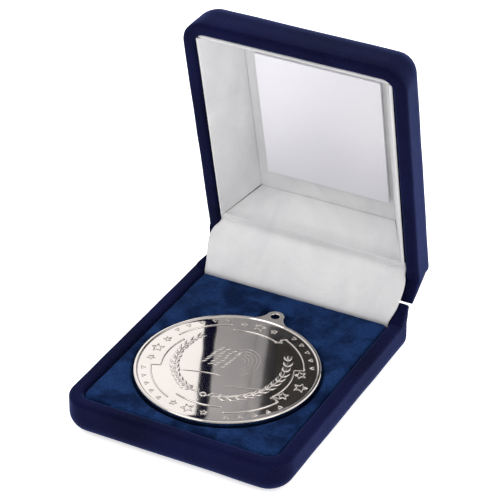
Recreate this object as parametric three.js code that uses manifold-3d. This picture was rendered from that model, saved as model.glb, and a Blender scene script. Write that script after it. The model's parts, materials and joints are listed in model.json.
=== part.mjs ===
// A struck medal in a hinged, velvet covered presentation box, standing open.
// Millimetres, +Z up, +Y towards the hinge, origin at the middle of the base's underside.
import * as THREE from 'three';
import { mergeVertices } from 'three/addons/utils/BufferGeometryUtils.js';
import Module from 'manifold-3d';

const wasm = await Module();
wasm.setup();

// ---------- driving dimensions ----------
const GAP = 0.3;              // air between pieces that touch in the real box
const OUTER_W = 78.2;         // box width, X
const OUTER_D = 92.2;         // box depth, Y
const RIM_Z = 12.4;           // height of the base's rim
const WALL = 4.6;             // wall with its shell and its velvet on both sides
const FRONT_R = 8.5;          // upright corners at the front
const REAR_R = 1.6;           // upright corners at the hinge side
const SKIN = 1.0;             // velvet with its backing
const BASE_EDGE_R = 6.0;      // rounding under the base
const RIM_R = 1.3;            // rounding of the velvet over the rims
const LID_DEPTH = 18.0;       // outside depth of the lid
const LID_EDGE_R = 10.0;      // rounding around the lid's top
const LID_DRAFT = 0.8;        // how far the lid's sides lean in
const FRONT_LEAN = 1.2;       // how much more its front leans in
const PIVOT_Y = 53.6;         // hinge axis
const PIVOT_Z = 11.0;
const OPEN_DEG = 77.4;        // how far the lid stands open at rest
const MEDAL_R = 30;
const MEDAL_T = 3.0;
const MEDAL_Y = -7.2;         // middle of the medal
const PAD_Z = 12.1;           // top of the velvet pad
const PANEL_DEPTH = 14.6;     // lining panel below the lid's rim plane

const HALF_W = OUTER_W / 2;
const REAR_Y = OUTER_D / 2;
const FRONT_Y = -OUTER_D / 2;
const LID_RIM_Z = RIM_Z + GAP;      // the lid's rim plane while the box is shut
const LID_TOP_Z = LID_RIM_Z + LID_DEPTH;
const INNER_X = HALF_W - WALL;      // inside face of the side walls
const EAR_FOOT_Y = REAR_Y - 3.9;    // where the side walls give way to the soft gussets
const EAR_LOW_Z = 7.2;              // lowest point of the gusset pocket in the base

// ---------- materials ----------
function material(color, roughness, metalness = 0) {
  return new THREE.MeshStandardMaterial({ color, roughness, metalness });
}
const NAVY = 0x1f2659;
const look = {
  coverVelvet: material(NAVY, 0.95),
  padVelvet: material(0x10305f, 0.95),
  plastic: material(0x1a1c26, 0.6),
  leatherette: material(0xdedede, 0.7),
  card: material(0x8c8478, 0.9),
  foam: material(0x2a3350, 1.0),
  paper: material(0x15182c, 0.9),
  steel: material(0xb8bcc2, 0.35, 1),
  silver: material(0xd9d4cb, 0.15, 1),
  plate: material(0xe4e4ec, 0.25, 0.6),
  tape: material(0xeeeeea, 0.8),
};

// ---------- solids ----------
function solidOf(geometry) {
  const bare = geometry.clone();
  bare.deleteAttribute('normal');
  bare.deleteAttribute('uv');
  const merged = mergeVertices(bare, 1e-4);
  const solid = new wasm.Mesh({
    numProp: 3,
    vertProperties: new Float32Array(merged.attributes.position.array),
    triVerts: new Uint32Array(merged.index.array),
  });
  return new wasm.Manifold(solid);
}

function geometryOf(solid) {
  const mesh = solid.getMesh();
  const geometry = new THREE.BufferGeometry();
  geometry.setAttribute('position', new THREE.BufferAttribute(new Float32Array(mesh.vertProperties), 3));
  geometry.setIndex(new THREE.BufferAttribute(new Uint32Array(mesh.triVerts), 1));
  geometry.computeVertexNormals();
  return geometry;
}

// The box outline, moved in by `inset`: round front corners, nearly square rear ones.
function outline(inset, steps = 4) {
  const w = HALF_W - inset;
  const rear = REAR_Y - inset;
  const front = FRONT_Y + inset;
  const rf = Math.max(FRONT_R - inset, 0.6);
  const rr = Math.max(REAR_R - inset, 0.4);
  const corners = [
    [w - rf, front + rf, rf, -90],
    [w - rr, rear - rr, rr, 0],
    [-w + rr, rear - rr, rr, 90],
    [-w + rf, front + rf, rf, 180],
  ];
  const points = [];
  for (const [x, y, r, start] of corners) {
    for (let i = 0; i <= steps; i++) {
      const a = THREE.MathUtils.degToRad(start + (90 * i) / steps);
      points.push([x + r * Math.cos(a), y + r * Math.sin(a)]);
    }
  }
  return points;
}

// A solid of stacked outlines. The profile is a list of [inset, z]. With caps its two ends are
// closed by flat faces; without them its last outline joins its first, which makes a ring.
function stacked(profile, caps) {
  const rings = profile.map(([inset, z]) => outline(inset).map(([x, y]) => [x, y, z]));
  const n = rings[0].length;
  const positions = rings.flat(2);
  const index = [];
  const bands = caps ? rings.length - 1 : rings.length;
  for (let k = 0; k < bands; k++) {
    const a = k * n;
    const b = ((k + 1) % rings.length) * n;
    for (let i = 0; i < n; i++) {
      const j = (i + 1) % n;
      index.push(a + i, a + j, b + j, a + i, b + j, b + i);
    }
  }
  if (caps) {
    const last = (rings.length - 1) * n;
    for (let i = 1; i < n - 1; i++) {
      index.push(0, i + 1, i);
      index.push(last, last + i, last + i + 1);
    }
  }
  const geometry = new THREE.BufferGeometry();
  geometry.setAttribute('position', new THREE.Float32BufferAttribute(positions, 3));
  geometry.setIndex(index);
  return geometry;
}

// Points of a quarter round in [inset, z], from one angle to another about a centre.
function quarter(inset, z, r, fromDeg, toDeg, steps = 3) {
  const points = [];
  for (let i = 0; i <= steps; i++) {
    const a = THREE.MathUtils.degToRad(fromDeg + ((toDeg - fromDeg) * i) / steps);
    points.push([inset - r * Math.cos(a), z + r * Math.sin(a)]);
  }
  return points;
}

function box(x0, x1, y0, y1, z0, z1) {
  const geometry = new THREE.BoxGeometry(x1 - x0, y1 - y0, z1 - z0);
  return geometry.translate((x0 + x1) / 2, (y0 + y1) / 2, (z0 + z1) / 2);
}

// A flat outline in Y and Z, extruded along X.
function prismX(points, x0, x1) {
  const shape = new THREE.Shape(points.map(([y, z]) => new THREE.Vector2(y, z)));
  const geometry = new THREE.ExtrudeGeometry(shape, { depth: x1 - x0, bevelEnabled: false });
  const turn = new THREE.Matrix4().makeBasis(
    new THREE.Vector3(0, 1, 0), new THREE.Vector3(0, 0, 1), new THREE.Vector3(1, 0, 0));
  return geometry.applyMatrix4(turn).translate(x0, 0, 0);
}

function discZ(radius, z0, z1, x, y, segments = 48) {
  const geometry = new THREE.CylinderGeometry(radius, radius, z1 - z0, segments);
  return geometry.rotateX(Math.PI / 2).translate(x, y, (z0 + z1) / 2);
}

function rodX(radius, x0, x1, y, z, segments = 20) {
  const geometry = new THREE.CylinderGeometry(radius, radius, x1 - x0, segments);
  return geometry.rotateZ(Math.PI / 2).translate((x0 + x1) / 2, y, z);
}

// ---------- scene graph ----------
const boxGroup = new THREE.Group();
const lidGroup = new THREE.Group();       // holds the lid's pieces as they lie when shut
const lidTurn = new THREE.Group();
lidTurn.position.set(0, PIVOT_Y, PIVOT_Z);
lidTurn.rotation.x = -THREE.MathUtils.degToRad(OPEN_DEG);
lidGroup.position.set(0, -PIVOT_Y, -PIVOT_Z);
lidTurn.add(lidGroup);
boxGroup.add(lidTurn);

function add(group, name, geometry, mat) {
  const mesh = new THREE.Mesh(geometry, mat);
  mesh.name = name;
  group.add(mesh);
}

// ---------- gussets: soft velvet tucks that close the side walls at the hinge ----------
// Side profiles in Y and Z with the box shut. The lid's end faces come near the base's when open.
const BASE_GUSSET = [
  [EAR_FOOT_Y + GAP, EAR_LOW_Z + GAP], [REAR_Y, EAR_LOW_Z + GAP], [REAR_Y + 0.3, RIM_Z - 0.5],
  [REAR_Y + 2.3, RIM_Z + 3.0], [REAR_Y + 1.9, RIM_Z + 3.6], [REAR_Y + 0.2, RIM_Z + 4.1],
  [REAR_Y - 1.6, RIM_Z + 1.6], [EAR_FOOT_Y + GAP, RIM_Z + 0.05],
];
const LID_POCKET_Z = LID_RIM_Z + 5.2;
const LID_GUSSET = [
  [EAR_FOOT_Y + GAP, LID_POCKET_Z - GAP], [EAR_FOOT_Y + GAP, LID_RIM_Z],
  [REAR_Y - 1.5, LID_RIM_Z - 3.0], [REAR_Y - 0.9, LID_RIM_Z - 4.8], [REAR_Y + 0.4, LID_RIM_Z - 4.9],
  [REAR_Y, LID_RIM_Z], [REAR_Y, LID_POCKET_Z - GAP],
];

function gussetPair(group, prefix, profile) {
  const x0 = INNER_X;
  const x1 = HALF_W;
  add(group, prefix + '_left', prismX(profile, -x1, -x0), look.coverVelvet);
  add(group, prefix + '_right', prismX(profile, x0, x1), look.coverVelvet);
}

// Cuts the pockets for the gussets out of both side walls.
function withPockets(geometry, z0, z1) {
  let solid = solidOf(geometry);
  for (const side of [-1, 1]) {
    const xs = [side * (INNER_X - GAP), side * (HALF_W + 1)];
    const pocket = box(Math.min(...xs), Math.max(...xs), EAR_FOOT_Y, REAR_Y + 2, z0, z1);
    solid = solid.subtract(solidOf(pocket));
  }
  return geometryOf(solid);
}

// Holes for the two rivets that hold a hinge leaf to the rear wall.
const HINGE_RIVET_X = 11;
const BASE_RIVET_Z = 6.6;
const LID_RIVET_Z = LID_RIM_Z + 5.6;
const RIVET_R = 1.0;
function rivetHoles(geometry, z) {
  let solid = solidOf(geometry);
  for (const x of [-HINGE_RIVET_X, HINGE_RIVET_X]) {
    const hole = new THREE.CylinderGeometry(RIVET_R + GAP, RIVET_R + GAP, 12, 16);
    solid = solid.subtract(solidOf(hole.translate(x, REAR_Y, z)));
  }
  return geometryOf(solid);
}

// ---------- base ----------
const SHELL_OUT = SKIN + GAP;                 // outside face of the plastic, from the outline
const SHELL_IN = WALL - 0.8 - GAP;            // inside face of the plastic
const TURN_IN_Z = 4.0;                        // how deep the velvet is turned into the base
const SHELL_FLOOR_Z = 2.5;
const UNDER_INSET = 9.0;                      // width of velvet turned under the base

const baseCoverProfile = [
  [UNDER_INSET, 0],
  ...quarter(BASE_EDGE_R, BASE_EDGE_R, BASE_EDGE_R, -90, 0),
  ...quarter(RIM_R, RIM_Z - RIM_R, RIM_R, 0, 90, 2),
  ...quarter(WALL - RIM_R, RIM_Z - RIM_R, RIM_R, 90, 180, 2),
  [WALL, TURN_IN_Z],
  [WALL - 0.8, TURN_IN_Z],
  [WALL - 0.8, RIM_Z - SKIN],
  [SKIN, RIM_Z - SKIN],
  ...quarter(BASE_EDGE_R, BASE_EDGE_R, BASE_EDGE_R - SKIN, 0, -90),
  [UNDER_INSET, SKIN],
];
const baseCover = withPockets(stacked(baseCoverProfile, false), EAR_LOW_Z, RIM_Z + 1);
add(boxGroup, 'base_cover', rivetHoles(baseCover, BASE_RIVET_Z), look.coverVelvet);

const baseShellProfile = [
  ...quarter(BASE_EDGE_R, BASE_EDGE_R, BASE_EDGE_R - SHELL_OUT, -90, 0),
  [SHELL_OUT, RIM_Z - SHELL_OUT],
  [SHELL_IN, RIM_Z - SHELL_OUT],
  [SHELL_IN, SHELL_FLOOR_Z + 1.2],
  [SHELL_IN + 1.2, SHELL_FLOOR_Z],
];
const baseShell = withPockets(stacked(baseShellProfile, true), EAR_LOW_Z, RIM_Z + 1);
add(boxGroup, 'base_shell', rivetHoles(baseShell, BASE_RIVET_Z), look.plastic);

const underside = stacked([[UNDER_INSET + GAP + 0.1, 0], [UNDER_INSET + GAP + 0.1, SKIN - 0.1]], true);
add(boxGroup, 'base_underside_sheet', underside, look.paper);
gussetPair(boxGroup, 'base_gusset', BASE_GUSSET);

// ---------- insert: card riser, board, foam and the velvet pad with the medal's recess ----------
const PAD_INSET = WALL + 0.4;
const PAD_REAR_Y = 40.4;                      // the pad stops short of the hinge side
const PAD_SKIN = 0.8;
const PAD_SIDE_Z = 8.0;                       // how far the velvet goes down the insert's sides
const FOAM_Z = 5.6;                           // underside of the foam
const BOARD_Z = [4.4, 5.3];                   // board under the foam
const RISER_TOP_Z = 4.1;                      // card frame that lifts the board
const RISER_BAND = 5.8;                       // width of that frame
const RECESS_Z = PAD_Z - 2.1;                 // floor that the medal lies on
const RECESS_R = MEDAL_R + 0.6;
const EYE_OUT = 3.4;                          // lug's eye beyond the medal's edge
const EYE_R = 3.1;
const LUG_Y = MEDAL_Y + MEDAL_R + EYE_OUT;

function insertBlock(inset, rearY, z0, z1) {
  const block = solidOf(stacked([[inset, z0], [inset, z1]], true));
  return block.subtract(solidOf(box(-50, 50, rearY, 60, z0 - 1, z1 + 1)));
}
// The recess for the medal and its lug, `extra` wider all round.
function recess(extra, z0) {
  const round = solidOf(discZ(RECESS_R + extra, z0, PAD_Z + 2, 0, MEDAL_Y, 64));
  const half = EYE_R + 2.6 + extra;
  const notch = box(-half, half, MEDAL_Y, LUG_Y + EYE_R + 0.7 + extra, z0, PAD_Z + 2);
  return round.add(solidOf(notch));
}

const velvetHollow = insertBlock(PAD_INSET + PAD_SKIN, PAD_REAR_Y - PAD_SKIN, FOAM_Z, PAD_Z - PAD_SKIN)
  .subtract(recess(PAD_SKIN, RECESS_Z - PAD_SKIN));
const insertVelvet = insertBlock(PAD_INSET, PAD_REAR_Y, PAD_SIDE_Z, PAD_Z)
  .subtract(velvetHollow)
  .subtract(recess(0, RECESS_Z));
add(boxGroup, 'insert_velvet', geometryOf(insertVelvet), look.padVelvet);

const FOAM_INSET = PAD_INSET + PAD_SKIN + GAP;
const FOAM_REAR_Y = PAD_REAR_Y - PAD_SKIN - GAP;
const insertFoam = insertBlock(FOAM_INSET, FOAM_REAR_Y, FOAM_Z, PAD_Z - PAD_SKIN - GAP)
  .subtract(recess(PAD_SKIN + GAP, RECESS_Z - PAD_SKIN - GAP));
add(boxGroup, 'insert_foam', geometryOf(insertFoam), look.foam);
const insertBoard = insertBlock(PAD_INSET, PAD_REAR_Y, ...BOARD_Z);
add(boxGroup, 'insert_board', geometryOf(insertBoard), look.card);
const RISER_INSET = PAD_INSET + 0.2;
const riser = insertBlock(RISER_INSET, PAD_REAR_Y, SHELL_FLOOR_Z + GAP, RISER_TOP_Z)
  .subtract(insertBlock(RISER_INSET + RISER_BAND, PAD_REAR_Y - RISER_BAND, 0, RISER_TOP_Z + 1));
add(boxGroup, 'insert_riser', geometryOf(riser), look.card);

// ---------- medal ----------
const MEDAL_Z = RECESS_Z + GAP;
const LUG_T = 2.0;
const medalProfile = [
  [0, 0], [MEDAL_R - 0.3, 0], [MEDAL_R, 0.3], [MEDAL_R, MEDAL_T - 0.3], [MEDAL_R - 0.3, MEDAL_T],
  [MEDAL_R - 1.2, MEDAL_T], [MEDAL_R - 1.5, MEDAL_T - 0.4], [0, MEDAL_T - 0.4],
];
const disc = new THREE.LatheGeometry(medalProfile.map(([r, z]) => new THREE.Vector2(r, z)), 96);
disc.rotateX(Math.PI / 2).translate(0, MEDAL_Y, MEDAL_Z);

// The lug: shoulders that sweep up from the rim into a round eye with a hole.
const EYE_HOLE_R = 1.45;
const FOOT = { x: 6.2, y: MEDAL_R - 1.6 };              // inside the disc
const SHOULDER = { x: 5.0, y: MEDAL_R - 0.2 };
const NECK = { x: EYE_R + 0.2, y: MEDAL_R + 0.6 };      // control point of the sweep
const lugShape = new THREE.Shape();
lugShape.moveTo(-FOOT.x, FOOT.y);
lugShape.lineTo(-SHOULDER.x, SHOULDER.y);
lugShape.quadraticCurveTo(-NECK.x, NECK.y, -EYE_R, MEDAL_R + EYE_OUT);
lugShape.absarc(0, MEDAL_R + EYE_OUT, EYE_R, Math.PI, 0, true);
lugShape.quadraticCurveTo(NECK.x, NECK.y, SHOULDER.x, SHOULDER.y);
lugShape.lineTo(FOOT.x, FOOT.y);
const eyeHole = new THREE.Path();
eyeHole.absarc(0, MEDAL_R + EYE_OUT, EYE_HOLE_R, 0, 2 * Math.PI, false);
lugShape.holes.push(eyeHole);
const lug = new THREE.ExtrudeGeometry(lugShape, { depth: LUG_T, bevelEnabled: false, curveSegments: 8 });
lug.translate(0, MEDAL_Y, MEDAL_Z + (MEDAL_T - LUG_T) / 2);
add(boxGroup, 'medal', geometryOf(solidOf(disc).add(solidOf(lug))), look.silver);

// ---------- lid, drawn shut ----------
const DRAFT_TOP_Z = LID_TOP_Z - LID_EDGE_R;
const LID_TURN_IN = 4.0;                      // how deep the velvet is turned into the lid

// Leans the lid's front in, more towards its top and not at all behind the middle.
function leanFront(geometry) {
  const position = geometry.attributes.position;
  for (let i = 0; i < position.count; i++) {
    const up = Math.max((position.getZ(i) - LID_RIM_Z - LID_TURN_IN) / (LID_DEPTH - LID_TURN_IN), 0);
    const forward = Math.max(position.getY(i) / FRONT_Y, 0);
    position.setY(i, position.getY(i) + FRONT_LEAN * up * forward);
  }
  return geometry;
}

const lidCoverProfile = [
  ...quarter(LID_DRAFT + LID_EDGE_R, DRAFT_TOP_Z, LID_EDGE_R - SKIN, 90, 0, 4),
  [SKIN, LID_RIM_Z + SKIN],
  [WALL - 0.8, LID_RIM_Z + SKIN],
  [WALL - 0.8, LID_RIM_Z + LID_TURN_IN],
  [WALL, LID_RIM_Z + LID_TURN_IN],
  ...quarter(WALL - RIM_R, LID_RIM_Z + RIM_R, RIM_R, 180, 270, 2),
  ...quarter(RIM_R, LID_RIM_Z + RIM_R, RIM_R, 270, 360, 2),
  ...quarter(LID_DRAFT + LID_EDGE_R, DRAFT_TOP_Z, LID_EDGE_R, 0, 90, 4),
];
const lidCover = withPockets(leanFront(stacked(lidCoverProfile, true)), LID_RIM_Z - 1, LID_POCKET_Z);
add(lidGroup, 'lid_cover', rivetHoles(lidCover, LID_RIVET_Z), look.coverVelvet);

const LID_SHELL_R = LID_EDGE_R - SHELL_OUT;
const LID_SHELL_T = 0.8;
const lidShellProfile = [
  ...quarter(LID_DRAFT + LID_EDGE_R, DRAFT_TOP_Z, LID_SHELL_R - LID_SHELL_T, 90, 0, 4),
  [SHELL_IN, LID_RIM_Z + SHELL_OUT],
  [SHELL_OUT, LID_RIM_Z + SHELL_OUT],
  ...quarter(LID_DRAFT + LID_EDGE_R, DRAFT_TOP_Z, LID_SHELL_R, 0, 90, 4),
];
const lidShell = withPockets(leanFront(stacked(lidShellProfile, true)), LID_RIM_Z - 1, LID_POCKET_Z);
add(lidGroup, 'lid_shell', rivetHoles(lidShell, LID_RIVET_Z), look.plastic);
gussetPair(lidGroup, 'lid_gusset', LID_GUSSET);

// Lining: four sloping walls that run in from the rim to a flat panel.
const LINING_T = 0.9;
const MOUTH = { x: 33.3, front: FRONT_Y + WALL + GAP + LINING_T, rear: 39.4, sideRear: 36.1 };
const PANEL = { x: 25.0, front: -33.3, rear: 31.4 };
const MOUTH_Z = LID_RIM_Z + 0.6;
const SLOPE_END_Z = LID_RIM_Z + PANEL_DEPTH - GAP;

// A slab between two lines, one at the mouth and one at the panel, moved out to its thickness.
function liningWall(mouthA, mouthB, panelA, panelB, out) {
  const corner = ([x, y], z, k) => [x + out[0] * LINING_T * k, y + out[1] * LINING_T * k, z];
  const points = [
    corner(mouthA, MOUTH_Z, 0), corner(mouthB, MOUTH_Z, 0),
    corner(panelB, SLOPE_END_Z, 0), corner(panelA, SLOPE_END_Z, 0),
    corner(mouthA, MOUTH_Z, 1), corner(mouthB, MOUTH_Z, 1),
    corner(panelB, SLOPE_END_Z, 1), corner(panelA, SLOPE_END_Z, 1),
  ];
  const geometry = new THREE.BufferGeometry();
  geometry.setAttribute('position', new THREE.Float32BufferAttribute(points.flat(), 3));
  const faces = [[0, 3, 2, 1], [4, 5, 6, 7], [0, 1, 5, 4], [1, 2, 6, 5], [2, 3, 7, 6], [3, 0, 4, 7]];
  geometry.setIndex(faces.flatMap(([a, b, c, d]) => [a, b, c, a, c, d]));
  return geometry;
}
const SEAM = GAP + 0.1;                       // open seam at each corner of the lining
for (const [side, word] of [[-1, 'left'], [1, 'right']]) {
  const ends = [
    [[side * MOUTH.x, MOUTH.front + SEAM], [side * PANEL.x, PANEL.front + SEAM]],
    [[side * MOUTH.x, MOUTH.sideRear], [side * PANEL.x, PANEL.rear - SEAM]],
  ];
  const [a, b] = side > 0 ? ends : ends.reverse();
  add(lidGroup, 'lid_lining_' + word, liningWall(a[0], b[0], a[1], b[1], [side, 0]), look.leatherette);
}
for (const [side, word, mouthY, panelY] of [
  [-1, 'front', MOUTH.front, PANEL.front], [1, 'rear', MOUTH.rear, PANEL.rear],
]) {
  const mouthX = side * (MOUTH.x - SEAM);
  const panelX = side * (PANEL.x - SEAM);
  const wall = liningWall([mouthX, mouthY], [-mouthX, mouthY], [panelX, panelY], [-panelX, panelY],
    [0, side]);
  add(lidGroup, 'lid_lining_' + word, wall, look.leatherette);
}

function panelBox(grow, z0, z1) {
  return box(-PANEL.x - grow, PANEL.x + grow, PANEL.front - grow, PANEL.rear + grow,
    LID_RIM_Z + z0, LID_RIM_Z + z1);
}
add(lidGroup, 'lid_lining_panel', panelBox(0.8, PANEL_DEPTH, PANEL_DEPTH + 0.4), look.leatherette);
add(lidGroup, 'lid_lining_board', panelBox(0.5, PANEL_DEPTH + 0.7, PANEL_DEPTH + 1.0), look.card);

// Engraving plate, held to the panel by a strip of tape.
const PLATE = { left: -20.9, right: 23.8, front: -28.1, rear: 22.7 };   // stuck on off centre
const PLATE_DEPTH = 12.9;
function plateSlab(shrink, z0, z1) {
  return box(PLATE.left + shrink, PLATE.right - shrink, PLATE.front + shrink, PLATE.rear - shrink,
    LID_RIM_Z + z0, LID_RIM_Z + z1);
}
add(lidGroup, 'lid_plate', plateSlab(0, PLATE_DEPTH, PLATE_DEPTH + 0.9), look.plate);
const TAPE_INSET = 5;
add(lidGroup, 'plate_tape', plateSlab(TAPE_INSET, PANEL_DEPTH - 0.6, PANEL_DEPTH - GAP), look.tape);

// ---------- lining strip over the hinge, from behind the pad up into the lid ----------
const FLAP_HALF = INNER_X - 2 * GAP;
const flapProfile = [[40.9, 12.55], [52.0, 24.15], [51.65, 24.5], [40.55, 12.9]];
add(boxGroup, 'hinge_flap', prismX(flapProfile, -FLAP_HALF, FLAP_HALF), look.leatherette);

// ---------- hinge ----------
const KNUCKLE_R = 1.9;
const PIN_R = 0.8;
const BORE_R = PIN_R + 0.25;
const LEAF_HALF = 24;
const LEAF_Y0 = REAR_Y + GAP;
const LEAF_Y1 = LEAF_Y0 + 0.8;
const BASE_KNUCKLE = [16.2, LEAF_HALF];
const LID_KNUCKLE = [8.0, 15.9];
const SPRING_SPAN = [0.4, 7.7];
const COIL_R = 1.7;
const WIRE = 0.5;
const PIN_HEAD_R = 1.4;
const PIN_HEAD_T = 0.7;

// A leaf: a plate on the box, with cranked arms out to knuckles around the pin.
function leaf(plateZ0, plateZ1, armProfile, knuckleSpan, rivetZ) {
  let solid = solidOf(box(-LEAF_HALF, LEAF_HALF, LEAF_Y0, LEAF_Y1, plateZ0, plateZ1));
  for (const side of [-1, 1]) {
    const [a, b] = knuckleSpan.map((x) => side * x).sort((u, v) => u - v);
    solid = solid.add(solidOf(prismX(armProfile, a, b)));
    solid = solid.add(solidOf(rodX(KNUCKLE_R, a, b, PIVOT_Y, PIVOT_Z)));
  }
  solid = solid.subtract(solidOf(rodX(BORE_R, -30, 30, PIVOT_Y, PIVOT_Z)));
  return rivetHoles(geometryOf(solid), rivetZ);
}
const baseArm = [
  [LEAF_Y0, 8.0], [LEAF_Y1, 8.0], [PIVOT_Y, PIVOT_Z - KNUCKLE_R], [PIVOT_Y, PIVOT_Z - BORE_R],
  [LEAF_Y0, 9.2],
];
const lidArm = [
  [LEAF_Y0, 15.4], [LEAF_Y0, 14.3], [PIVOT_Y, PIVOT_Z + BORE_R], [PIVOT_Y, PIVOT_Z + KNUCKLE_R],
  [LEAF_Y1, 15.4],
];
add(boxGroup, 'base_hinge_leaf', leaf(4.8, 9.2, baseArm, BASE_KNUCKLE, BASE_RIVET_Z), look.steel);
add(lidGroup, 'lid_hinge_leaf', leaf(14.3, 20.6, lidArm, LID_KNUCKLE, LID_RIVET_Z), look.steel);

const PIN_END = LEAF_HALF + GAP + PIN_HEAD_T;
let pin = solidOf(rodX(PIN_R, -PIN_END, PIN_END, PIVOT_Y, PIVOT_Z));
for (const a of [-PIN_END, PIN_END - PIN_HEAD_T]) {
  pin = pin.add(solidOf(rodX(PIN_HEAD_R, a, a + PIN_HEAD_T, PIVOT_Y, PIVOT_Z)));
}
add(boxGroup, 'hinge_pin', geometryOf(pin), look.steel);

// Torsion springs on the pin, each with a leg that bears on the base leaf.
for (const [side, name] of [[-1, 'hinge_spring_left'], [1, 'hinge_spring_right']]) {
  const [a, b] = SPRING_SPAN.map((x) => side * x).sort((u, v) => u - v);
  const legTop = PIVOT_Z - 1.2;
  const leg = [
    [LEAF_Y1 + GAP, 8.2], [PIVOT_Y, legTop - WIRE], [PIVOT_Y, legTop], [LEAF_Y1 + GAP, 8.2 + WIRE],
  ];
  const legX = side > 0 ? b - WIRE : a;
  const spring = solidOf(rodX(COIL_R, a, b, PIVOT_Y, PIVOT_Z))
    .add(solidOf(prismX(leg, legX, legX + WIRE)))
    .subtract(solidOf(rodX(BORE_R, a - 1, b + 1, PIVOT_Y, PIVOT_Z)));
  add(boxGroup, name, geometryOf(spring), look.steel);
}

// Rivets: a spread tail inside the wall, a shank through it and the leaf, and a domed head outside.
const TAIL_Y = REAR_Y - WALL - 0.75;
const TAIL_R = 1.7;
const TAIL_T = 0.5;
const HEAD_R = 1.9;
const HEAD_T = 0.9;
function rivet(x, z) {
  const head = LEAF_Y1 + GAP - TAIL_Y;
  const profile = [
    [0, 0], [TAIL_R, 0], [TAIL_R, TAIL_T], [RIVET_R, TAIL_T], [RIVET_R, head], [HEAD_R, head],
    [HEAD_R - 0.3, head + HEAD_T * 0.55], [HEAD_R - 1.0, head + HEAD_T * 0.9], [0, head + HEAD_T],
  ];
  const geometry = new THREE.LatheGeometry(profile.map(([r, y]) => new THREE.Vector2(r, y)), 16);
  return geometry.translate(x, TAIL_Y, z);
}
for (const [side, name] of [[-1, 'left'], [1, 'right']]) {
  add(boxGroup, 'base_hinge_rivet_' + name, rivet(side * HINGE_RIVET_X, BASE_RIVET_Z), look.steel);
  add(lidGroup, 'lid_hinge_rivet_' + name, rivet(side * HINGE_RIVET_X, LID_RIVET_Z), look.steel);
}

export default boxGroup;
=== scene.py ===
"""A silver-coloured medal in a velvet presentation box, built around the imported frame.

Lengths in this script are millimetres until mesh_object() turns them into metres.
"""
import json
import math
import random

import bmesh
import bpy
import numpy as np
from mathutils import Matrix, Vector, noise

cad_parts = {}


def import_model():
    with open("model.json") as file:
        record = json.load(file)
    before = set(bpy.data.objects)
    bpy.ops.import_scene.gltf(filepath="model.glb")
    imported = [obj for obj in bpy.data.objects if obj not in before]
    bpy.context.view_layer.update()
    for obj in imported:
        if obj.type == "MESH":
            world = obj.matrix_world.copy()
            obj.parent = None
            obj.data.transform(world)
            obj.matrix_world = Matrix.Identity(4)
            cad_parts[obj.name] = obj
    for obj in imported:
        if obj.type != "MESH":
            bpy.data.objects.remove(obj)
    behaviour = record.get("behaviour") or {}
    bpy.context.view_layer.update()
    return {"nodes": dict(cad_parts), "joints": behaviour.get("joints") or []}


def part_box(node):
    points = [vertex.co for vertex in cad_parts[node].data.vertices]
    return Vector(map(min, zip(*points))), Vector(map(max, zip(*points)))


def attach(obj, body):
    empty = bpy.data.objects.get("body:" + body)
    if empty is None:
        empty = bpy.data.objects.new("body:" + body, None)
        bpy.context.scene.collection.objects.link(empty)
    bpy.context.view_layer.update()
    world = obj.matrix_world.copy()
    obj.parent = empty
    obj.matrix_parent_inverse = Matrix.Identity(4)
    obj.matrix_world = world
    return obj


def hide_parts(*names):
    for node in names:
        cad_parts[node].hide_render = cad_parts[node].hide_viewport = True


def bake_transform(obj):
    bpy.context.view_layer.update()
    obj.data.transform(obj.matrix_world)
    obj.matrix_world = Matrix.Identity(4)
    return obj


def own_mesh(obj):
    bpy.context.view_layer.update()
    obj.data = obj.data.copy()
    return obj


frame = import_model()

MM = 0.001
HINGE = next(j for j in frame["joints"] if j["name"] == "lid_hinge")


def cad(node):
    """A CAD node's box at rest as two numpy points, in millimetres."""
    low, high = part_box(node)
    return np.array(low) / MM, np.array(high) / MM


# ---- driving sizes, read from the frame where it has them ----
BASE_LOW, BASE_HIGH = cad("base_cover")
HALF_W = BASE_HIGH[0]
REAR_Y = BASE_HIGH[1]
FRONT_Y = BASE_LOW[1]
RIM_Z = BASE_HIGH[2]
PAD_LOW, PAD_HIGH = cad("insert_velvet")
PAD_Z = PAD_HIGH[2]
MEDAL_LOW, MEDAL_HIGH = cad("medal")
MEDAL_R = MEDAL_HIGH[0]
MEDAL_Y = MEDAL_LOW[1] + MEDAL_R
MEDAL_Z = MEDAL_LOW[2]
MEDAL_TOP = MEDAL_HIGH[2]
PIVOT = np.array(HINGE["pos_m"]) / MM
OPEN_DEG = HINGE["range_deg"][1]

WALL = 4.6          # wall with velvet on both sides
FRONT_R = 8.5       # upright corners at the front
REAR_R = 1.6        # upright corners at the hinge side
BASE_EDGE_R = 6.0   # rounding under the base
RIM_R = 1.3         # rounding of velvet over the rims
LID_GAP = 0.3       # air between the rims when the box is shut
VELVET_T = 1.0      # velvet with its backing
RIM_T = 1.2         # the same over a rim
TURNED_T = 0.8      # the same on a wall's inner face
LID_DEPTH = 18.0    # from the lid's rim to its top
LID_EDGE_R = 10.0   # rounding around the lid's top
LID_DRAFT = 0.8     # how far the lid's sides lean in
FRONT_LEAN = 1.2    # how much more its front leans in
REAR_FILL = 4.0     # how much squarer its rounding is at the hinge side
TURN_IN = 4.0       # how deep the velvet is turned into base and lid
PANEL_DEPTH = 14.6  # from the lid's rim to the lining's flat panel
LID_RIM_Z = RIM_Z + LID_GAP
LID_TOP_Z = LID_RIM_Z + LID_DEPTH

# The lid is drawn shut, then turned open about the hinge.
LID_OPEN = (
    Matrix.Translation(Vector(PIVOT))
    @ Matrix.Rotation(-math.radians(OPEN_DEG), 4, "X")
    @ Matrix.Translation(-Vector(PIVOT))
)


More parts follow.
